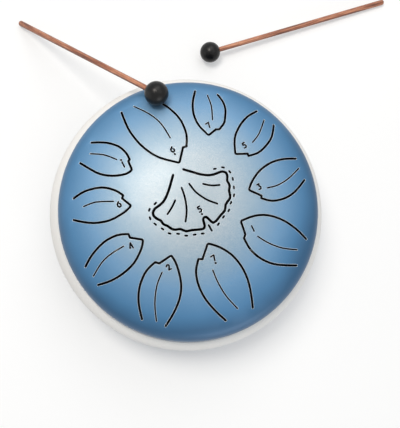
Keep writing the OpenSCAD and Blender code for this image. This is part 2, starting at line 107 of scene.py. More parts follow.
@dataclass(frozen=True)
class Signal:
    """A number that flows between nodes, with arithmetic that adds Math nodes.

    Attributes:
        kit: The node kit that the number belongs to.
        socket: The output socket that carries it.
    """

    kit: "NodeKit"
    socket: Socket

    def _math(self, operation: str, *values: Any) -> "Signal":
        """Add one Math node."""
        made = self.kit.node("ShaderNodeMath", {"operation": operation}, dict(enumerate(values)))
        return self.kit.signal(made)

    def __add__(self, other: Any) -> "Signal":
        """Sum with a number or signal."""
        return self._math("ADD", self, other)

    __radd__ = __add__

    def __sub__(self, other: Any) -> "Signal":
        """Take a number or signal away."""
        return self._math("SUBTRACT", self, other)

    def __rsub__(self, other: Any) -> "Signal":
        """Take this signal away from a number."""
        return self._math("SUBTRACT", other, self)

    def __mul__(self, other: Any) -> "Signal":
        """Product with a number or signal."""
        return self._math("MULTIPLY", self, other)

    __rmul__ = __mul__

    def __truediv__(self, other: Any) -> "Signal":
        """Divide by a number or signal."""
        return self._math("DIVIDE", self, other)

    def __pow__(self, other: Any) -> "Signal":
        """Raise to a power."""
        return self._math("POWER", self, other)

    def band(self, low: float, high: float) -> "Signal":
        """Rise smoothly from 0 at the low value to 1 at the high one.

        Args:
            low: Value at which the result is 0.
            high: Value at which the result is 1.

        Returns:
            The smooth step.
        """
        settings = {"interpolation_type": "SMOOTHSTEP"}
        made = self.kit.node("ShaderNodeMapRange", settings, {0: self, 1: low, 2: high})
        return self.kit.signal(made)


@dataclass(frozen=True)
class Pattern:
    """Recipe of a cloudy pattern, such as stains, dust or grain.

    Attributes:
        size: Size of its largest patches, in metres.
        detail: Number of finer layers.
        roughness: Strength of the finer layers.
    """

    size: float
    detail: float = 3.0
    roughness: float = 0.55


@dataclass(frozen=True)
class Relief:
    """How far a pattern stands out of a surface.

    Attributes:
        depth: Depth that a height of 1 stands for, in metres.
        strength: Share of the effect.
    """

    depth: float
    strength: float


@dataclass(frozen=True)
class Level:
    """A shader value that a pattern raises or lowers.

    Attributes:
        base: The value where the pattern is 0.
        change: What is added to it where the pattern is 1.
    """

    base: float
    change: float

    def over(self, pattern: Signal) -> Signal:
        """Give the value over a pattern."""
        return self.base + pattern * self.change


class NodeKit:
    """Builds the node tree of one material or of the world."""

    def __init__(self, owner: Material | bpy.types.World) -> None:
        """Start with an empty tree.

        Args:
            owner: The material or world that the tree belongs to.
        """
        owner.use_nodes = True
        self.owner = owner
        self.tree = owner.node_tree
        self.tree.nodes.clear()

    @classmethod
    def for_material(cls, name: str) -> "NodeKit":
        """Start a new material."""
        return cls(bpy.data.materials.new(name))

    def node(self, kind: str, settings: Mapping[str, Any] | None = None,
             sockets: Mapping[Any, Any] | None = None) -> bpy.types.Node:
        """Add a node, set its own settings and then its sockets.

        Args:
            kind: Type name of the node.
            settings: Values of its settings; stops gives the places and colours of a ramp.
            sockets: Values or links of its inputs, by name or number.

        Returns:
            The new node.
        """
        made = self.tree.nodes.new(kind)
        for name, value in (settings or {}).items():
            if name == "stops":
                self._set_stops(made.color_ramp, value)
            else:
                setattr(made, name, value)
        for name, value in (sockets or {}).items():
            source = value.socket if isinstance(value, Signal) else value
            if isinstance(source, Socket):
                self.tree.links.new(source, made.inputs[name])
            else:
                made.inputs[name].default_value = source
        return made

    @staticmethod
    def _set_stops(ramp: bpy.types.ColorRamp, stops: Stops) -> None:
        """Give a colour ramp its stops.

        Args:
            ramp: The ramp, with two stops of its own at first.
            stops: Place and colour of each stop, in order.
        """
        while len(ramp.elements) < len(stops):
            ramp.elements.new(0.5)
        for element, (place, colour) in zip(ramp.elements, stops):
            element.position = place
            element.color = linear(colour)

    def signal(self, made: bpy.types.Node, output: Any = 0) -> Signal:
        """Wrap a node's output as a number."""
        return Signal(self, made.outputs[output])

    def place(self, origin: Vector | None = None, turn: Vector | None = None,
              squeeze: Vector | None = None) -> Socket:
        """Give the place on the piece, as a pattern that is moved, turned and squeezed reads it.

        Args:
            origin: Point of the frame that becomes the pattern's origin, in metres.
            turn: Turn of the pattern about X, Y and Z, in radians.
            squeeze: How many times finer the pattern is along its own axes; below 1 draws it out.

        Returns:
            The socket with the place.
        """
        here = self.node("ShaderNodeTexCoord").outputs["Object"]
        if origin is None and turn is None and squeeze is None:
            return here
        scale = Vector([1 / s for s in squeeze or (1, 1, 1)])
        sockets = {0: here, "Location": origin or Vector(), "Rotation": turn or Vector(), "Scale": scale}
        return self.node("ShaderNodeMapping", {"vector_type": "TEXTURE"}, sockets).outputs[0]

    def axes(self, place: Socket) -> tuple[Signal, Signal, Signal]:
        """Split a place into its three coordinates."""
        made = self.node("ShaderNodeSeparateXYZ", sockets={0: place})
        return self.signal(made, 0), self.signal(made, 1), self.signal(made, 2)

    def reach(self, place: Socket) -> Signal:
        """Give the distance of a place from the Z axis."""
        x, y, _ = self.axes(place)
        return (x * x + y * y) ** 0.5

    def seen(self) -> Signal:
        """Give 1 where the camera looks at a surface, straight, in gloss or through glass, and else 0."""
        path = self.node("ShaderNodeLightPath")
        straight, gloss = self.signal(path, "Is Camera Ray"), self.signal(path, "Is Glossy Ray")
        return straight + gloss + self.signal(path, "Is Transmission Ray")

    def noise(self, place: Socket, pattern: Pattern) -> Signal:
        """Add a cloudy pattern.

        Args:
            place: The place to read.
            pattern: Its recipe.

        Returns:
            The pattern, as a number of about CLOUD_MIDDLE on average.
        """
        sockets = {"Vector": place, "Scale": 1 / pattern.size, "Detail": pattern.detail,
                   "Roughness": pattern.roughness}
        return self.signal(self.node("ShaderNodeTexNoise", {}, sockets))

    def speckle(self, place: Socket, size: float) -> Signal:
        """Add cells of random brightness, as flakes in a lacquer have.

        Args:
            place: The place to read.
            size: Size of a cell, in metres.

        Returns:
            A random number for each cell.
        """
        made = self.node("ShaderNodeTexVoronoi", {}, {"Vector": place, "Scale": 1 / size})
        return self.axes(made.outputs["Color"])[0]

    def blend(self, share: Any, first: Any, second: Any) -> Socket:
        """Mix two colours.

        Args:
            share: Share of the second colour, a number or signal.
            first: A colour or a colour socket.
            second: A colour or a colour socket.

        Returns:
            The socket with the mixed colour.
        """
        ends = [linear(c) if isinstance(c, tuple) else c for c in (first, second)]
        settings = {"data_type": "RGBA", "clamp_factor": True}
        return self.node("ShaderNodeMix", settings, {0: share, 6: ends[0], 7: ends[1]}).outputs[2]

    def ramp(self, value: Signal, stops: Stops) -> Socket:
        """Turn a number into a colour by a ramp."""
        return self.node("ShaderNodeValToRGB", {"stops": stops}, {0: value}).outputs[0]

    def bump(self, height: Signal, relief: Relief,
             under: Socket | None = None) -> Socket:
        """Turn a height into a bumped normal.

        Args:
            height: Height from 0 to 1.
            relief: How far it stands out.
            under: A normal that this bump is added to.

        Returns:
            The socket with the normal.
        """
        sockets = {"Height": height, "Distance": relief.depth, "Strength": relief.strength}
        if under is not None:
            sockets["Normal"] = under
        return self.node("ShaderNodeBump", {}, sockets).outputs[0]

    def finish(self, **sockets: Any) -> Material:
        """Close the tree with a Principled shader.

        Args:
            **sockets: Inputs of the shader by name, with underscores for spaces.

        Returns:
            The finished material.
        """
        named = {name.replace("_", " "): value for name, value in sockets.items()}
        shader = self.node("ShaderNodeBsdfPrincipled", {}, named)
        self.node("ShaderNodeOutputMaterial", {}, {0: shader.outputs[0]})
        return self.owner


# In a finish the fields that start with a pattern's name are its span, its relief, its squeeze along
# X, Y and Z (below 1 draws it out), and the share of its colour that it mixes in


@dataclass(frozen=True)
class SheetLacquer:
    """Satin blue lacquer with silver flakes, sprayed thin and pale at the crown's middle and deep at its
    rim; the pale middle, set off toward the top left, is also a painted highlight, and the deep rim is
    also painted shade.

    Attributes:
        pale_and_highlight_at: Point over which the lacquer is thinnest and palest, which is also the
            middle of the painted highlight.
        outer_r: Distance from the upright through that point at which the lacquer is deepest.
        paint_and_light_depths: Colours of the lacquer, by their share of that distance; they hold a
            painted highlight in the middle and painted shade at the rim.
        cloud_push: How far the clouds shift the colours, as a share of that distance.
        flake_fade: Shares of that distance between which the flakes die out; their silver also makes the
            middle paler, adding to the painted highlight.
    """

    name: str = "sheet_lacquer"
    pale_and_highlight_at: Vector = Vector((-4 * MM, 7 * MM, 0))
    outer_r: float = 94.5 * MM
    paint_and_light_depths: Stops = (
        (0.0, (0.49, 0.57, 0.625)),
        (0.30, (0.53, 0.605, 0.66)),
        (0.49, (0.44, 0.57, 0.665)),
        (0.71, (0.345, 0.535, 0.69)),
        (0.88, (0.25, 0.455, 0.62)),
        (1.0, (0.15, 0.33, 0.475)),
    )
    clouds: Pattern = Pattern(45 * MM, 2.0)
    cloud_push: float = 0.12
    flake: Colour = (0.88, 0.88, 0.87)
    flake_size: float = 0.12 * MM
    flake_span: Span = (0.3, 1.0)
    flake_fade: Span = (0.25, 0.95)
    flake_share: float = 0.5
    metal: Level = Level(0.33, 0.2)
    wear: Pattern = Pattern(13.5 * MM, 4.0, 0.65)
    roughness: Level = Level(0.45, 0.12)
    waves: Pattern = Pattern(7 * MM, 2.0)
    wave_relief: Relief = Relief(0.12 * MM, 0.6)
    peel: Pattern = Pattern(1.4 * MM, 2.0, 0.4)
    peel_relief: Relief = Relief(0.04 * MM, 0.5)
    gloss: float = 0.3
    coat: float = 0.35
    coat_roughness: float = 0.37

    def material(self) -> Material:
        """Build the lacquer.

        Returns:
            The finished material.
        """
        kit = NodeKit.for_material(self.name)
        here = kit.place()
        push = (kit.noise(here, self.clouds) - CLOUD_MIDDLE) * self.cloud_push
        # Painted highlight and shade: the colours run from pale silver near pale_and_highlight_at, off
        # centre toward the top left, to deep blue at the rim.
        spread = kit.reach(kit.place(self.pale_and_highlight_at)) / self.outer_r + push
        flakes = kit.speckle(here, self.flake_size).band(*self.flake_span)
        flakes = flakes * (1 - spread.band(*self.flake_fade))
        base = kit.blend(flakes * self.flake_share, kit.ramp(spread, self.paint_and_light_depths), self.flake)
        waves = kit.bump(kit.noise(here, self.waves), self.wave_relief)
        return kit.finish(
            Base_Color=base, Metallic=self.metal.over(flakes),
            Roughness=self.roughness.over(kit.noise(here, self.wear)), Specular_IOR_Level=self.gloss,
            Normal=kit.bump(kit.noise(here, self.peel), self.peel_relief, waves),
            Coat_Weight=self.coat, Coat_Roughness=self.coat_roughness)


@dataclass(frozen=True)
class WornAndGlintingEdge:
    """Thin lacquer along the slits' edges, where the sheet shows through, pale enough that it also paints
    a highlight along each edge.
    """

    name: str = "slit_edge"
    glinting_paint: Colour = (0.76, 0.83, 0.89)
    steel: Colour = (0.89, 0.91, 0.92)
    patches: Pattern = Pattern(4 * MM, 4.0, 0.7)
    patch_span: Span = (0.4, 0.7)
    roughness: Level = Level(0.42, -0.12)
    metal: float = 0.3
    scratches: Pattern = Pattern(0.4 * MM, 2.0)
    scratch_relief: Relief = Relief(0.02 * MM, 0.4)

    def material(self) -> Material:
        """Build the worn edge.

        Returns:
            The finished material.
        """
        kit = NodeKit.for_material(self.name)
        here = kit.place()
        bare = kit.noise(here, self.patches).band(*self.patch_span)
        # Painted highlight: both edge colours are much paler than the lacquer beside them.
        return kit.finish(
            Base_Color=kit.blend(bare, self.glinting_paint, self.steel), Roughness=self.roughness.over(bare),
            Metallic=self.metal, Normal=kit.bump(kit.noise(here, self.scratches), self.scratch_relief))


@dataclass(frozen=True)
class DarkSheet:
    """Unpainted dark side of the sheet, near black so that it also paints shade: the scorched walls of a
    cut, or the primed inside of the drum.
    """

    name: str
    clean: Colour
    stained: Colour
    roughness: Level
    squeeze: Vector
    stains: Pattern = Pattern(4 * MM, 5.0, 0.7)
    stain_span: Span = (0.35, 0.75)
    metal: float = 0.2
    gloss: float = 0.3
    grain: Pattern = Pattern(0.5 * MM)
    grain_relief: Relief = Relief(0.03 * MM, 0.6)

    def material(self) -> Material:
        """Build the dark sheet.

        Returns:
            The finished material.
        """
        kit = NodeKit.for_material(self.name)
        here = kit.place(squeeze=self.squeeze)
        stained = kit.noise(here, self.stains).band(*self.stain_span)
        return kit.finish(
            Base_Color=kit.blend(stained, self.clean, self.stained), Metallic=self.metal,
            Roughness=self.roughness.over(stained), Specular_IOR_Level=self.gloss,
            Normal=kit.bump(kit.noise(here, self.grain), self.grain_relief))


@dataclass(frozen=True)
class CreamRubber:
    """Cream silicone of the edge band, with painted shade, a darker beige, low on its side and a few
    dirty smears.

    Attributes:
        low_z: Height up to which the painted shade is fullest.
        high_z: Height from which there is none.
        shade_push: How far the clouds shift these heights.
    """

    name: str = "band_rubber"
    clean: Colour = (0.925, 0.93, 0.93)
    dust_and_shade_tone: Colour = (0.84, 0.79, 0.73)
    low_z: float = 36 * MM
    high_z: float = 50 * MM
    band_clouds: Pattern = Pattern(20 * MM, 4.0, 0.6)
    shade_push: float = 12 * MM
    low_shade_share: float = 0.8
    roughness: Level = Level(0.46, 0.2)
    smears: Pattern = Pattern(6 * MM, 5.0, 0.7)
    smear_span: Span = (0.62, 0.8)
    smear_share: float = 0.25
    gloss: float = 0.4
    grain: Pattern = Pattern(0.6 * MM)
    grain_relief: Relief = Relief(0.08 * MM, 0.6)

    def material(self) -> Material:
        """Build the band's rubber.

        Returns:
            The finished material.
        """
        kit = NodeKit.for_material(self.name)
        here = kit.place()
        _, _, z = kit.axes(here)
        band_clouds = kit.noise(here, self.band_clouds)
        # Painted shade: the band turns darker beige toward its bottom, with a cloudy edge.
        low = 1 - (z + (band_clouds - CLOUD_MIDDLE) * self.shade_push).band(self.low_z, self.high_z)
        base = kit.blend(low * self.low_shade_share, self.clean, self.dust_and_shade_tone)
        smear = kit.noise(here, self.smears).band(*self.smear_span)
        return kit.finish(
            Base_Color=kit.blend(smear * self.smear_share, base, self.dust_and_shade_tone),
            Roughness=self.roughness.over(band_clouds), Specular_IOR_Level=self.gloss,
            Normal=kit.bump(kit.noise(here, self.grain), self.grain_relief))


@dataclass(frozen=True)
class BlackRubber:
    """Black moulded rubber of a mallet's head or a foot.

    Attributes:
        patch_grains: Size of the grey patches, in grains.
    """

    name: str
    fresh: Colour
    bloomed: Colour
    roughness: Level
    gloss: float
    grain_size: float
    patch_grains: float = 12.0
    patch_span: Span = (0.45, 0.8)
    patch_share: float = 0.7
    grain_relief: Relief = Relief(0.06 * MM, 0.5)

    def material(self) -> Material:
        """Build the rubber.

        Returns:
            The finished material.
        """
        kit = NodeKit.for_material(self.name)
        here = kit.place()
        patches = kit.noise(here, Pattern(self.grain_size * self.patch_grains, 5.0, 0.65))
        share = patches.band(*self.patch_span) * self.patch_share
        grain = kit.noise(here, Pattern(self.grain_size, 3.0, 0.6))
        return kit.finish(
            Base_Color=kit.blend(share, self.fresh, self.bloomed),
            Roughness=self.roughness.over(patches), Specular_IOR_Level=self.gloss,
            Normal=kit.bump(grain, self.grain_relief))


@dataclass(frozen=True)
class PlatedSteel:
    """Zinc plating on the foot screws, washers and nuts."""

    name: str = "plated_steel"
    bright: Colour = (0.66, 0.66, 0.64)
    dull: Colour = (0.42, 0.42, 0.41)
    stains: Pattern = Pattern(3 * MM, 5.0, 0.7)
    stain_span: Span = (0.4, 0.75)
    roughness: Level = Level(0.34, 0.2)
    lines: Pattern = Pattern(0.4 * MM, 2.0)
    line_squeeze: Vector = Vector((1, 1, 6))
    line_relief: Relief = Relief(0.02 * MM, 0.5)

    def material(self) -> Material:
        """Build the plating.

        Returns:
            The finished material.
        """
        kit = NodeKit.for_material(self.name)
        stained = kit.noise(kit.place(), self.stains).band(*self.stain_span)
        lines = kit.noise(kit.place(squeeze=self.line_squeeze), self.lines)
        return kit.finish(
            Base_Color=kit.blend(stained, self.bright, self.dull), Metallic=1.0,
            Roughness=self.roughness.over(stained), Normal=kit.bump(lines, self.line_relief))


@dataclass(frozen=True)
class TurnedWood:
    """Reddish oiled hardwood of a stick, with its grain along the stick.

    Attributes:
        start: Middle of the mallet's head, in metres.
        turn: Turn from the frame to the stick, whose grain runs along its own Z.
        tones: Dark, middle and pale colour of the wood.
        tone_stops: Values of the mixed grain and figure at which it has these colours.
    """

    name: str
    start: Vector
    turn: Vector
    tones: tuple[Colour, Colour, Colour] = ((0.27, 0.13, 0.085), (0.58, 0.345, 0.24), (0.82, 0.58, 0.45))
    tone_stops: tuple[float, float, float] = (0.38, 0.53, 0.69)
    grain: Pattern = Pattern(1.3 * MM, 5.0, 0.65)
    grain_squeeze: Vector = Vector((1, 1, 0.05))
    grain_share: float = 0.8
    figure: Pattern = Pattern(6 * MM, 2.0)
    figure_squeeze: Vector = Vector((1, 1, 0.12))
    figure_share: float = 0.3
    pores: Pattern = Pattern(0.35 * MM, 1.0)
    pore_squeeze: Vector = Vector((1, 1, 0.03))
    pore_span: Span = (0.58, 0.72)
    pore_share: float = 0.7
    roughness: Level = Level(0.5, -0.16)
    grain_relief: Relief = Relief(0.12 * MM, 0.6)
    coat: float = 0.12
    coat_roughness: float = 0.35

    def _along(self, kit: NodeKit, pattern: Pattern, squeeze: Vector) -> Signal:
        """Add a pattern that is drawn out along the stick."""
        return kit.noise(kit.place(self.start, self.turn, squeeze), pattern)

    def material(self) -> Material:
        """Build the wood.

        Returns:
            The finished material.
        """
        kit = NodeKit.for_material(self.name)
        grain = self._along(kit, self.grain, self.grain_squeeze)
        figure = self._along(kit, self.figure, self.figure_squeeze)
        pores = self._along(kit, self.pores, self.pore_squeeze).band(*self.pore_span)
        tone = grain * self.grain_share + figure * self.figure_share
        base = kit.ramp(tone, tuple(zip(self.tone_stops, self.tones)))
        return kit.finish(
            Base_Color=kit.blend(pores * self.pore_share, base, self.tones[0]),
            Roughness=self.roughness.over(grain), Normal=kit.bump(grain, self.grain_relief),
            Coat_Weight=self.coat, Coat_Roughness=self.coat_roughness)


@dataclass(frozen=True)
class StagePaper:
    """Pale paper of the floor: it keeps the object's shadow, has a painted shadow right under the drum,
    and turns white toward the horizon.

    Attributes:
        seen: Colour of the paper where it is looked at.
        bounced: Colour of the light that it throws back.
        painted_shadow_tint: Colour of the painted shadow on the paper right under the drum, where the
            sound port shows it.
        glow: Share of white in the paper near the object.
        painted_shadow_r: Distance from the drum's axis up to which the paper has the painted shadow's
            colour.
        covered_r: Distance up to which the paper doesn't glow.
        open_r: Distance from which it glows in full.
        near_r: Distance at which the paper starts to turn white.
        far_r: Distance from which it is white.
    """

    name: str = "stage_paper"
    seen: Colour = (0.97, 0.985, 1.0)
    bounced: Colour = (0.80, 0.80, 0.80)
    painted_shadow_tint: Colour = (0.12, 0.12, 0.12)
    glow: float = 0.4
    painted_shadow_r: float = 45 * MM
    covered_r: float = 90 * MM
    open_r: float = 125 * MM
    near_r: float = 300 * MM
    far_r: float = 900 * MM
    tooth: Pattern = Pattern(2 * MM)
    tooth_share: float = 0.02

    def material(self) -> Material:
        """Build the paper.

        Returns:
            The finished material.
        """
        kit = NodeKit.for_material(self.name)
        here = kit.place()
        radius = kit.reach(here)
        seen = kit.seen()
        white = radius.band(self.covered_r, self.open_r) * self.glow
        white = white + radius.band(self.near_r, self.far_r) * (1 - self.glow)
        tint = kit.blend(kit.noise(here, self.tooth) * self.tooth_share, self.seen, self.bounced)
        tint = kit.blend(seen, self.bounced, tint)
        # Painted shadow: the paper is near black under the drum and brightens out to covered_r.
        tint = kit.blend(radius.band(self.painted_shadow_r, self.covered_r), self.painted_shadow_tint, tint)
        paper = kit.node("ShaderNodeBsdfDiffuse", {}, {0: tint})
        light = kit.node("ShaderNodeEmission", {}, {1: 1.0})
        parts = {0: seen * white, 1: paper.outputs[0], 2: light.outputs[0]}
        sheet = kit.node("ShaderNodeMixShader", {}, parts)
        kit.node("ShaderNodeOutputMaterial", {}, {0: sheet.outputs[0]})
        return kit.owner


class Turning:
    """Draws a profile with lines and arcs in the XZ plane and turns it about Z."""

    def __init__(self, radius: float, height: float) -> None:
        """Start the profile.

        Args:
            radius: Distance of its first point from the axis, in metres.
            height: Height of its first point.
        """
        self.mesh = bmesh.new()
        self.first = self.mesh.verts.new((radius, 0, height))
        self.tip = self.first

    def line(self, radius: float, height: float) -> "Turning":
        """Draw a straight line.

        Args:
            radius: Distance of its end from the axis.
            height: Height of its end.

        Returns:
            The turning itself.
        """
        point = self.mesh.verts.new((radius, 0, height))
        self.mesh.edges.new((self.tip, point))
        self.tip = point
        return self

    def arc(self, radius: float, height: float, degrees: float, steps: int) -> "Turning":
        """Draw an arc about a centre.

        Args:
            radius: Distance of the centre from the axis.
            height: Height of the centre.
            degrees: Angle of the arc, counterclockwise with the axis on the left.
            steps: Number of edges.

        Returns:
            The turning itself.
        """
        made = bmesh.ops.spin(self.mesh, geom=[self.tip], cent=(radius, 0, height), axis=(0, -1, 0),
                              angle=math.radians(degrees), steps=steps)
        self.tip = [part for part in made["geom_last"] if isinstance(part, bmesh.types.BMVert)][0]
        return self

    def close(self) -> "Turning":
        """Join the last point to the first."""
        self.mesh.edges.new((self.tip, self.first))
        return self

    def turned(self, steps: int) -> Mesh:
        """Turn the profile all the way round.

        Args:
            steps: Number of faces around.

        Returns:
            The closed mesh, with its faces pointing outwards.
        """
        profile = self.mesh.verts[:] + self.mesh.edges[:]
        bmesh.ops.spin(self.mesh, geom=profile, cent=(0, 0, 0), axis=(0, 0, 1), angle=math.tau,
                       steps=steps, use_merge=True)
        bmesh.ops.remove_doubles(self.mesh, verts=self.mesh.verts[:], dist=TURNED_MERGE)
        bmesh.ops.recalc_face_normals(self.mesh, faces=self.mesh.faces[:])
        return self.mesh


def make_piece(name: str, mesh: Mesh, materials: Sequence[Material],
               smooth_degrees: float = 30.0) -> Piece:
    """Turn a bmesh into an object that sits at the origin.

    Args:
        name: Name of the piece.
        mesh: The finished mesh, which is freed.
        materials: Its materials in the order of its face indices.
        smooth_degrees: Edges flatter than this are shaded smooth.

    Returns:
        The new object.
    """
    data = bpy.data.meshes.new(name)
    mesh.to_mesh(data)
    mesh.free()
    for material in materials:
        data.materials.append(material)
    data.set_sharp_from_angle(angle=math.radians(smooth_degrees))
    data.polygons.foreach_set("use_smooth", [True] * len(data.polygons))
    piece = bpy.data.objects.new(name, data)
    bpy.context.scene.collection.objects.link(piece)
    return piece


def merged_copy(node: str) -> Mesh:
    """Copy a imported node's mesh with its loose triangles joined.

    Args:
        node: Name of the node.

    Returns:
        The joined copy.
    """
    mesh = bmesh.new()
    mesh.from_mesh(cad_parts[node].data)
    bmesh.ops.remove_doubles(mesh, verts=mesh.verts[:], dist=PACKED_MERGE)
    return mesh


def ease_edges(mesh: Mesh, degrees: float, width: float, clamp: bool, material: int) -> None:
    """Bevel the sharp edges of a mesh.

    Args:
        mesh: The mesh, which is changed.
        degrees: Edges that turn by more than this are eased.
        width: Distance from the old edge to each side of the new face, in metres.
        clamp: Whether the width gives way where edges lie close together.
        material: Number of the new faces' material, or -1 for that of the faces beside them.
    """
    limit = math.radians(degrees)
    sharp = [e for e in mesh.edges if len(e.link_faces) == 2 and e.calc_face_angle(0.0) > limit]
    bmesh.ops.bevel(mesh, geom=sharp, offset=width, offset_type="OFFSET", segments=2, profile=0.5,
                    affect="EDGES", clamp_overlap=clamp, material=material)


def seat(piece: Piece, body: Body, slot: Slot, *nodes: str) -> None:
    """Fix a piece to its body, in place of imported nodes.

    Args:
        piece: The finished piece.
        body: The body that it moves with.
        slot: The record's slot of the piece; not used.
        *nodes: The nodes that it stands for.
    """
    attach(piece, body.value)
    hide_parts(*nodes)
    log.info("built %s with %d faces on %s", piece.name, len(piece.data.polygons), body.value)


class Side(Enum):
    """Kinds of surface on a pressed shell, by the number of their material."""

    OUTSIDE = 0
    EASED = 1
    CUT = 2
    INSIDE = 3


@dataclass
class PressedShell:
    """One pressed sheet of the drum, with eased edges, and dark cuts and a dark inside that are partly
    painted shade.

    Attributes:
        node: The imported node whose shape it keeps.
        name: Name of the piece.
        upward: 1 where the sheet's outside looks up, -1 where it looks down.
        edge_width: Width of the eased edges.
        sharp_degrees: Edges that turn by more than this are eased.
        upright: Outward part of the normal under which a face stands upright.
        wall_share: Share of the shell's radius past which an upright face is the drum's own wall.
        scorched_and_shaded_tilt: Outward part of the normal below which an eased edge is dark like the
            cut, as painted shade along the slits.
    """

    node: str
    name: str
    upward: float
    edge_width: float
    sharp_degrees: float = 50.0
    upright: float = 0.03
    wall_share: float = 0.93
    scorched_and_shaded_tilt: float = 0.7

    def build(self, finishes: Mapping[Side, Material]) -> Piece:
        """Ease the sheet's edges on a copy and dress it.

        Args:
            finishes: The material of each kind of surface.

        Returns:
            The finished piece.
        """
        mesh = merged_copy(self.node)
        wall_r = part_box(self.node)[1].x * self.wall_share
        for face in mesh.faces:
            face.material_index = self._side(face, wall_r).value
        ease_edges(mesh, self.sharp_degrees, self.edge_width, clamp=False, material=Side.EASED.value)
        mesh.normal_update()
        # Painted shade: eased edges that face down or inward take the dark finish of the cuts, so the
        # slits read black.
        for face in mesh.faces:
            steep = face.normal.z * self.upward < self.scorched_and_shaded_tilt
            if steep and face.material_index == Side.EASED.value:
                face.material_index = Side.CUT.value
        piece = make_piece(self.name, mesh, [finishes[side] for side in Side])
        seat(piece, Body.DRUM, Slot.BLUE_PAINT, self.node)
        return piece

    def _side(self, face: bmesh.types.BMFace, wall_r: float) -> Side:
        """Tell the sheet's outside, its inside and the walls of its cuts apart.

        Args:
            face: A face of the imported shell.
            wall_r: Distance from the axis past which an upright face is no cut.

        Returns:
            The kind of surface.
        """
        middle = face.calc_center_median()
        away = face.normal.z * self.upward
        if abs(away) < self.upright:
            flat = Vector((middle.x, middle.y, 0))
            if flat.length < wall_r:
                return Side.CUT
            away = face.normal.dot(flat)
        return Side.OUTSIDE if away > 0 else Side.INSIDE


@dataclass
class Crown:
    """The dome of the upper shell, part of a ball's surface.

    Attributes:
        radius: Radius of the dome's outer side.
        edge_r: Distance from the axis at which the shoulder starts.
    """

    radius: float = 223 * MM
    edge_r: float = 87.25 * MM

    def shade(self, piece: Piece, top: float) -> None:
        """Give the dome's faces the normals of the true ball, so that light runs over it evenly.

        Args:
            piece: The upper shell.
            top: Height of the crown's top.
        """
        centre = Vector((0, 0, top - self.radius))
        data = piece.data
        normals = [corner.vector.copy() for corner in data.corner_normals]
        turns = {Side.OUTSIDE.value: 1.0, Side.INSIDE.value: -1.0}
        for polygon in data.polygons:
            if polygon.material_index not in turns:
                continue
            points = {i: data.vertices[data.loops[i].vertex_index].co for i in polygon.loop_indices}
            if max(math.hypot(point.x, point.y) for point in points.values()) < self.edge_r:
                for i, point in points.items():
                    normals[i] = (point - centre).normalized() * turns[polygon.material_index]
        data.normals_split_custom_set(normals)


@dataclass
class EdgeBand:
    """Cream rubber band that grips both flanges, with a bead along each lip and a moulding line.

    Attributes:
        lip_degrees: How far the bead goes round.
        bulge_r: Radius of the band's outer side, from its lower to its upper lip.
        gap: Clearance between the band and the flanges.
        shrink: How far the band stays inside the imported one.
    """

    node: str = "edge_ring"
    steps: int = 288
    lip_r: float = 1.5 * MM
    lip_degrees: float = 140.0
    lip_steps: int = 10
    bulge_r: float = 14 * MM
    bulge_steps: int = 14
    sheet_t: float = 1.2 * MM
    gap: float = 0.1 * MM
    line_depth: float = 0.12 * MM
    line_width: float = 0.5 * MM
    shrink: float = 0.05 * MM
    smooth_degrees: float = 35.0

    def build(self, rubber: Material) -> None:
        """Turn the band's section about the axis.

        Args:
            rubber: The band's material.
        """
        low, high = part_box(self.node)
        outer, middle, half = high.x - self.shrink, (low.z + high.z) / 2, (high.z - low.z) / 2
        inner = min(math.hypot(v.co.x, v.co.y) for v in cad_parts[self.node].data.vertices)
        lip, bulge = inner + self.lip_r, outer - self.bulge_r
        upper_lip, lower_lip = middle + half - self.lip_r, middle - half + self.lip_r
        rise = half - self.lip_r / 2
        half_line = math.degrees(self.line_width / 2 / self.bulge_r)
        swing = half_line - math.degrees(math.asin(rise / self.bulge_r))
        line_rim, lip_end = math.radians(half_line), math.radians(180 - self.lip_degrees)
        groove = self.sheet_t + self.gap
        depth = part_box("top_shell")[1].x + self.gap
        section = Turning(inner, middle + groove)
        section.line(inner, upper_lip)
        section.arc(lip, upper_lip, -self.lip_degrees, self.lip_steps)
        section.line(bulge + math.sqrt(self.bulge_r**2 - rise**2), middle + rise)
        section.arc(bulge, middle, swing, self.bulge_steps)
        section.line(outer - self.line_depth, middle)
        section.line(bulge + self.bulge_r * math.cos(line_rim), middle - self.line_width / 2)
        section.arc(bulge, middle, swing, self.bulge_steps)
        section.line(lip + self.lip_r * math.cos(lip_end), lower_lip - self.lip_r * math.sin(lip_end))
        section.arc(lip, lower_lip, -self.lip_degrees, self.lip_steps)
        section.line(inner, middle - groove)
        section.line(depth, middle - groove)
        section.line(depth, middle + groove)
        band = section.close().turned(self.steps)
        piece = make_piece("moulded_band", band, [rubber], self.smooth_degrees)
        seat(piece, Body.DRUM, Slot.CREAM_RUBBER, self.node)


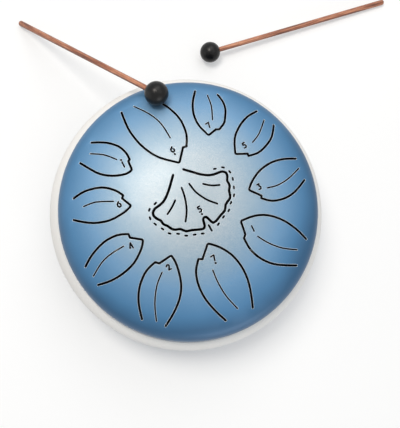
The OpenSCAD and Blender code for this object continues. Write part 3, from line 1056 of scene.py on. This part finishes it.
@dataclass
class RubberFoot:
    """One screwed foot, with rounded edges and grip rings under it.

    Attributes:
        rim_h: Height of the foot's straight rim, at its top.
        grooves: Number of grooves that part the grip rings.
        slope_share: Share of a groove's width that each of its sides takes.
    """

    node: str
    hole_r: float = 2.2 * MM
    recess_r: float = 4.3 * MM
    recess_h: float = 4 * MM
    rim_h: float = 2.5 * MM
    base_r: float = 9 * MM
    round_r: float = 0.8 * MM
    round_steps: int = 6
    grooves: int = 2
    groove_depth: float = 0.4 * MM
    slope_share: float = 0.3
    steps: int = 96
    smooth_degrees: float = 35.0

    def build(self, rubber: Material) -> None:
        """Turn the foot and set it at its place.

        Args:
            rubber: The foot's material.
        """
        low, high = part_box(self.node)
        top_r = (high.x - low.x) / 2
        height = high.z - low.z
        section = Turning(self.hole_r, height)
        section.line(top_r - self.round_r, height)
        section.arc(top_r - self.round_r, height - self.round_r, -90, self.round_steps)
        section.line(top_r, height - self.rim_h)
        section.line(top_r - self.round_r / 2, height - self.rim_h - self.round_r / 2)
        section.line(self.base_r, self.round_r)
        section.arc(self.base_r - self.round_r, self.round_r, -90, self.round_steps)
        pitch = (self.base_r - self.round_r - self.recess_r) / (2 * self.grooves + 1)
        for groove in range(self.grooves):
            outer = self.base_r - self.round_r - (2 * groove + 1) * pitch
            section.line(outer, 0)
            section.line(outer - pitch * self.slope_share, self.groove_depth)
            section.line(outer - pitch * (1 - self.slope_share), self.groove_depth)
            section.line(outer - pitch, 0)
        section.line(self.recess_r, 0)
        section.line(self.recess_r, self.recess_h)
        section.line(self.hole_r, self.recess_h)
        mesh = section.close().turned(self.steps)
        place = Vector(((low.x + high.x) / 2, (low.y + high.y) / 2, low.z))
        bmesh.ops.translate(mesh, verts=mesh.verts[:], vec=place)
        piece = make_piece(f"grip_{self.node}", mesh, [rubber], self.smooth_degrees)
        seat(piece, Body.DRUM, Slot.FOOT_RUBBER, self.node)


@dataclass
class FootFasteners:
    """Screws, washers and nuts that hold the feet, with eased edges.

    Attributes:
        flat_degrees: Triangles that turn by less than this become one face.
    """

    nodes: tuple[str, ...] = ("foot_screws", "foot_washers", "foot_nuts")
    edge_width: float = 0.15 * MM
    sharp_degrees: float = 35.0
    flat_degrees: float = 0.5
    smooth_degrees: float = 35.0

    def build(self, steel: Material) -> None:
        """Ease the edges of each kind of fastener on a copy.

        Args:
            steel: The plating.
        """
        for node in self.nodes:
            mesh = merged_copy(node)
            bmesh.ops.dissolve_limit(mesh, angle_limit=math.radians(self.flat_degrees),
                                     verts=mesh.verts[:], edges=mesh.edges[:],
                                     use_dissolve_boundaries=False)
            ease_edges(mesh, self.sharp_degrees, self.edge_width, clamp=True, material=-1)
            piece = make_piece(f"eased_{node}", mesh, [steel], self.smooth_degrees)
            seat(piece, Body.DRUM, Slot.PLATED_STEEL, node)


@dataclass
class Mallet:
    """One mallet: a turned stick and a moulded rubber ball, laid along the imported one's line.

    Attributes:
        taper_shares: Places of the rings between the ball and the far end, as shares of the way.
        end_slack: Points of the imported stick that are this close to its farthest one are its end.
        trim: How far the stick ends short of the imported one.
        collar_r: Width of the stick's chamfer and of the socket's soft lip.
        seam_degrees: Angle from the moulding line's middle to its rim.
    """

    number: int
    body: Body
    neck_r: float = 2 * MM
    end_r: float = 2.3 * MM
    taper_shares: tuple[float, ...] = (0.25, 0.5, 0.75)
    end_round_r: float = 1.4 * MM
    end_steps: int = 8
    end_slack: float = 0.05 * MM
    trim: float = 0.02 * MM
    socket_depth: float = 11 * MM
    socket_gap: float = 0.05 * MM
    collar_r: float = 0.6 * MM
    seam_depth: float = 0.06 * MM
    seam_degrees: float = 1.6
    steps: int = 96
    ball_steps: int = 40
    smooth_degrees: float = 40.0

    @property
    def stick_node(self) -> str:
        """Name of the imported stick."""
        return f"mallet_{self.number}_stick"

    @property
    def head_node(self) -> str:
        """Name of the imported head."""
        return f"mallet_{self.number}_head"

    @property
    def ball_r(self) -> float:
        """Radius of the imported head."""
        low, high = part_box(self.head_node)
        return (high - low).x / 2

    def middle(self) -> Vector:
        """Find the middle of the head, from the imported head's box."""
        low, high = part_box(self.head_node)
        return (low + high) / 2

    def far_end(self) -> Vector:
        """Find the middle of the stick's far end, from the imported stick's own points.

        Returns:
            That point of the frame.
        """
        middle = self.middle()
        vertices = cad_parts[self.stick_node].data.vertices
        points = [Vector(p) for p in {v.co.to_tuple(POINT_DECIMALS) for v in vertices}]
        reach = max((p - middle).length for p in points)
        last = [p for p in points if (p - middle).length > reach - self.end_slack]
        return sum(last, Vector()) / len(last)

    def placing(self) -> Matrix:
        """Find how the mallet lies.

        Returns:
            The matrix from the mallet's own frame, with its head at the origin and its stick along +Z.
        """
        middle = self.middle()
        turn = (self.far_end() - middle).to_track_quat("Z", "Y").to_matrix().to_4x4()
        return Matrix.Translation(middle) @ turn

    def build(self, rubber: Material) -> None:
        """Build the stick and the ball.

        Args:
            rubber: The ball's material.
        """
        turn = Vector(self.placing().to_euler())
        self._build_stick(TurnedWood(f"stick_wood_{self.number}", self.middle(), turn).material())
        self._build_ball(rubber)

    def _build_stick(self, wood: Material) -> None:
        """Turn the stick, which widens toward its rounded far end.

        Args:
            wood: The stick's material.
        """
        length = (self.far_end() - self.middle()).length - self.trim
        foot = self.ball_r - self.socket_depth + self.socket_gap
        section = Turning(0, foot)
        section.line(self.neck_r - self.collar_r, foot)
        section.line(self.neck_r, foot + self.collar_r)
        section.line(self.neck_r, self.ball_r)
        for share in self.taper_shares:
            section.line(self.neck_r + (self.end_r - self.neck_r) * share,
                         self.ball_r + (length - self.ball_r) * share)
        section.line(self.end_r, length - self.end_round_r)
        section.arc(self.end_r - self.end_round_r, length - self.end_round_r, 90, self.end_steps)
        section.line(0, length)
        self._lay("turned_stick", section, wood, Slot.MALLET_WOOD, self.stick_node)

    def _build_ball(self, rubber: Material) -> None:
        """Turn the ball, with the moulding line round its middle and a soft lip at the socket.

        Args:
            rubber: The ball's material.
        """
        ball_r = self.ball_r
        hole_r = self.neck_r + self.socket_gap
        mouth = math.asin((hole_r + self.collar_r) / ball_r)
        rim = math.radians(self.seam_degrees)
        half = 90 - self.seam_degrees
        section = Turning(0, -ball_r)
        section.arc(0, 0, half, self.ball_steps)
        section.line(ball_r - self.seam_depth, 0)
        section.line(ball_r * math.cos(rim), ball_r * math.sin(rim))
        section.arc(0, 0, half - math.degrees(mouth), self.ball_steps)
        section.line(hole_r, ball_r * math.cos(mouth) - self.collar_r)
        section.line(hole_r, ball_r - self.socket_depth)
        section.line(0, ball_r - self.socket_depth)
        self._lay("rubber_ball", section, rubber, Slot.BLACK_RUBBER, self.head_node)

    def _lay(self, name: str, section: Turning, material: Material, slot: Slot,
             node: str) -> None:
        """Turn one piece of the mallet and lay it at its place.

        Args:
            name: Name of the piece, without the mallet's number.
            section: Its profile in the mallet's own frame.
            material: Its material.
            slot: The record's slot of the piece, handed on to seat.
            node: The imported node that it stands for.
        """
        mesh = section.turned(self.steps)
        bmesh.ops.transform(mesh, matrix=self.placing(), verts=mesh.verts[:])
        piece = make_piece(f"{name}_{self.number}", mesh, [material], self.smooth_degrees)
        seat(piece, self.body, slot, node)


@dataclass
class Lamp:
    """One soft round area light.

    Attributes:
        place: Where it stands, in metres.
        width: Its diameter.
        power: Its power, in watts.
        colour: Its colour, linear.
    """

    name: str
    place: Vector
    width: float
    power: float
    colour: Colour = (1.0, 1.0, 1.0)

    def build(self, aim: Vector) -> None:
        """Add the light to the scene.

        Args:
            aim: Point that it is turned to.
        """
        data = bpy.data.lights.new(self.name, "AREA")
        data.shape = "DISK"
        data.size = self.width
        data.energy = self.power
        data.color = self.colour
        lamp = bpy.data.objects.new(self.name, data)
        turn = (aim - self.place).to_track_quat("-Z", "Y").to_matrix().to_4x4()
        lamp.matrix_world = Matrix.Translation(self.place) @ turn
        bpy.context.scene.collection.objects.link(lamp)


@dataclass
class Studio:
    """Floor, soft light and the camera of the photograph.

    Attributes:
        target: Point that the camera looks at.
        tilt_degrees: Lean of the camera's view from the vertical.
        toward_degrees: Side that the camera leans to, from +X toward +Y.
        lit_point: Point that the lamps are turned to.
        ambient: Strength of the light from all around.
    """

    target: Vector = field(default_factory=lambda: Vector((7.93, -2.12, 58.0)) * MM)
    distance: float = 442 * MM
    tilt_degrees: float = 7.4
    toward_degrees: float = 225.8
    lens: float = 50.0
    sensor: float = 36.0
    floor_half: float = 3.0
    lit_point: Vector = field(default_factory=lambda: Vector((0, 0, 0.08)))
    ambient: float = 0.3

    def build(self) -> None:
        """Build the floor, the lights and the camera."""
        self._build_floor()
        self._light_world()
        lamps = (
            Lamp("overhead_softbox", Vector((-0.36, 0.36, 1.28)), 0.5, 10.0, (1.0, 0.93, 0.84)),
            Lamp("top_softbox", Vector((0.2, 0.84, 1.1)), 0.9, 4.6, (1.0, 0.97, 0.94)),
            Lamp("right_softbox", Vector((0.76, 0.15, 1.24)), 0.9, 1.8, (1.0, 0.97, 0.94)),
            Lamp("front_fill", Vector((0.55, -1.2, 0.35)), 0.9, 5.5),
            Lamp("left_fill", Vector((-1.3, -0.1, 0.35)), 0.9, 1.5),
        )
        for lamp in lamps:
            lamp.build(self.lit_point)
        self._place_camera()
        bpy.context.scene.view_settings.view_transform = "Standard"

    def _build_floor(self) -> None:
        """Lay the paper under the feet."""
        mesh = bmesh.new()
        bmesh.ops.create_grid(mesh, x_segments=2, y_segments=2, size=self.floor_half)
        floor = make_piece("paper_floor", mesh, [StagePaper().material()])

    def _light_world(self) -> None:
        """Surround the scene with soft light, white where it is seen."""
        world = bpy.data.worlds.new("soft_surround")
        kit = NodeKit(world)
        strength = Level(self.ambient, 1 - self.ambient).over(kit.seen())
        light = kit.node("ShaderNodeBackground", {}, {0: linear((1.0, 1.0, 1.0)), 1: strength})
        kit.node("ShaderNodeOutputWorld", {}, {0: light.outputs[0]})
        bpy.context.scene.world = world

    def _place_camera(self) -> None:
        """Set the camera where the photograph was taken from, with its top toward +Y."""
        tilt, toward = math.radians(self.tilt_degrees), math.radians(self.toward_degrees)
        sideways = Vector((math.cos(toward), math.sin(toward), 0))
        back = sideways * math.sin(tilt) + Vector((0, 0, math.cos(tilt)))
        right = Vector((0, 1, 0)).cross(back).normalized()
        up = back.cross(right)
        turn = Matrix((right, up, back)).transposed().to_4x4()
        data = bpy.data.cameras.new("photo_camera")
        data.lens = self.lens
        data.sensor_fit = "VERTICAL"
        data.sensor_height = self.sensor
        camera = bpy.data.objects.new("photo_camera", data)
        camera.matrix_world = Matrix.Translation(self.target + back * self.distance) @ turn
        bpy.context.scene.collection.objects.link(camera)
        bpy.context.scene.camera = camera


def main() -> None:
    """Build the drum, its mallets and the studio."""
    logging.basicConfig(level=logging.INFO, format="%(name)s: %(message)s")
    # Near-black cut walls: partly scorched steel, partly painted shade in the slits.
    scorched_and_shaded_cut = DarkSheet("scorched_and_shaded_cut", clean=(0.075, 0.07, 0.07), stained=(0.13, 0.12, 0.115),
                         roughness=Level(0.5, 0.15), squeeze=Vector((1, 1, 0.2)))
    # Near-black inside: partly primer, partly painted shade in the drum, seen through the slits.
    primed_and_shaded_inside = DarkSheet("primed_and_shaded_inside", clean=(0.10, 0.105, 0.115), stained=(0.15, 0.15, 0.16),
                              roughness=Level(0.55, 0.15), squeeze=Vector((1, 1, 1)))
    foot_rubber = BlackRubber("grip_rubber", fresh=(0.10, 0.10, 0.105), bloomed=(0.17, 0.17, 0.17),
                              roughness=Level(0.62, 0.16), gloss=0.25, grain_size=0.5 * MM)
    ball_rubber = BlackRubber("ball_rubber", fresh=(0.03, 0.03, 0.033), bloomed=(0.10, 0.10, 0.103),
                              roughness=Level(0.25, 0.16), gloss=0.24, grain_size=0.4 * MM)
    sheet = {
        Side.OUTSIDE: SheetLacquer().material(),
        Side.EASED: WornAndGlintingEdge().material(),
        Side.CUT: scorched_and_shaded_cut.material(),
        Side.INSIDE: primed_and_shaded_inside.material(),
    }
    upper = PressedShell("top_shell", "eased_upper_shell", upward=1, edge_width=0.2 * MM)
    Crown().shade(upper.build(sheet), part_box(upper.node)[1].z)
    PressedShell("bottom_shell", "eased_lower_shell", upward=-1, edge_width=0.25 * MM).build(sheet)
    EdgeBand().build(CreamRubber().material())
    grip = foot_rubber.material()
    for node in ("foot_1", "foot_2", "foot_3"):
        RubberFoot(node).build(grip)
    FootFasteners().build(PlatedSteel().material())
    ball = ball_rubber.material()
    for number, body in ((1, Body.MALLET_1), (2, Body.MALLET_2)):
        Mallet(number, body).build(ball)
    Studio().build()


if __name__ == "__main__":
    main()
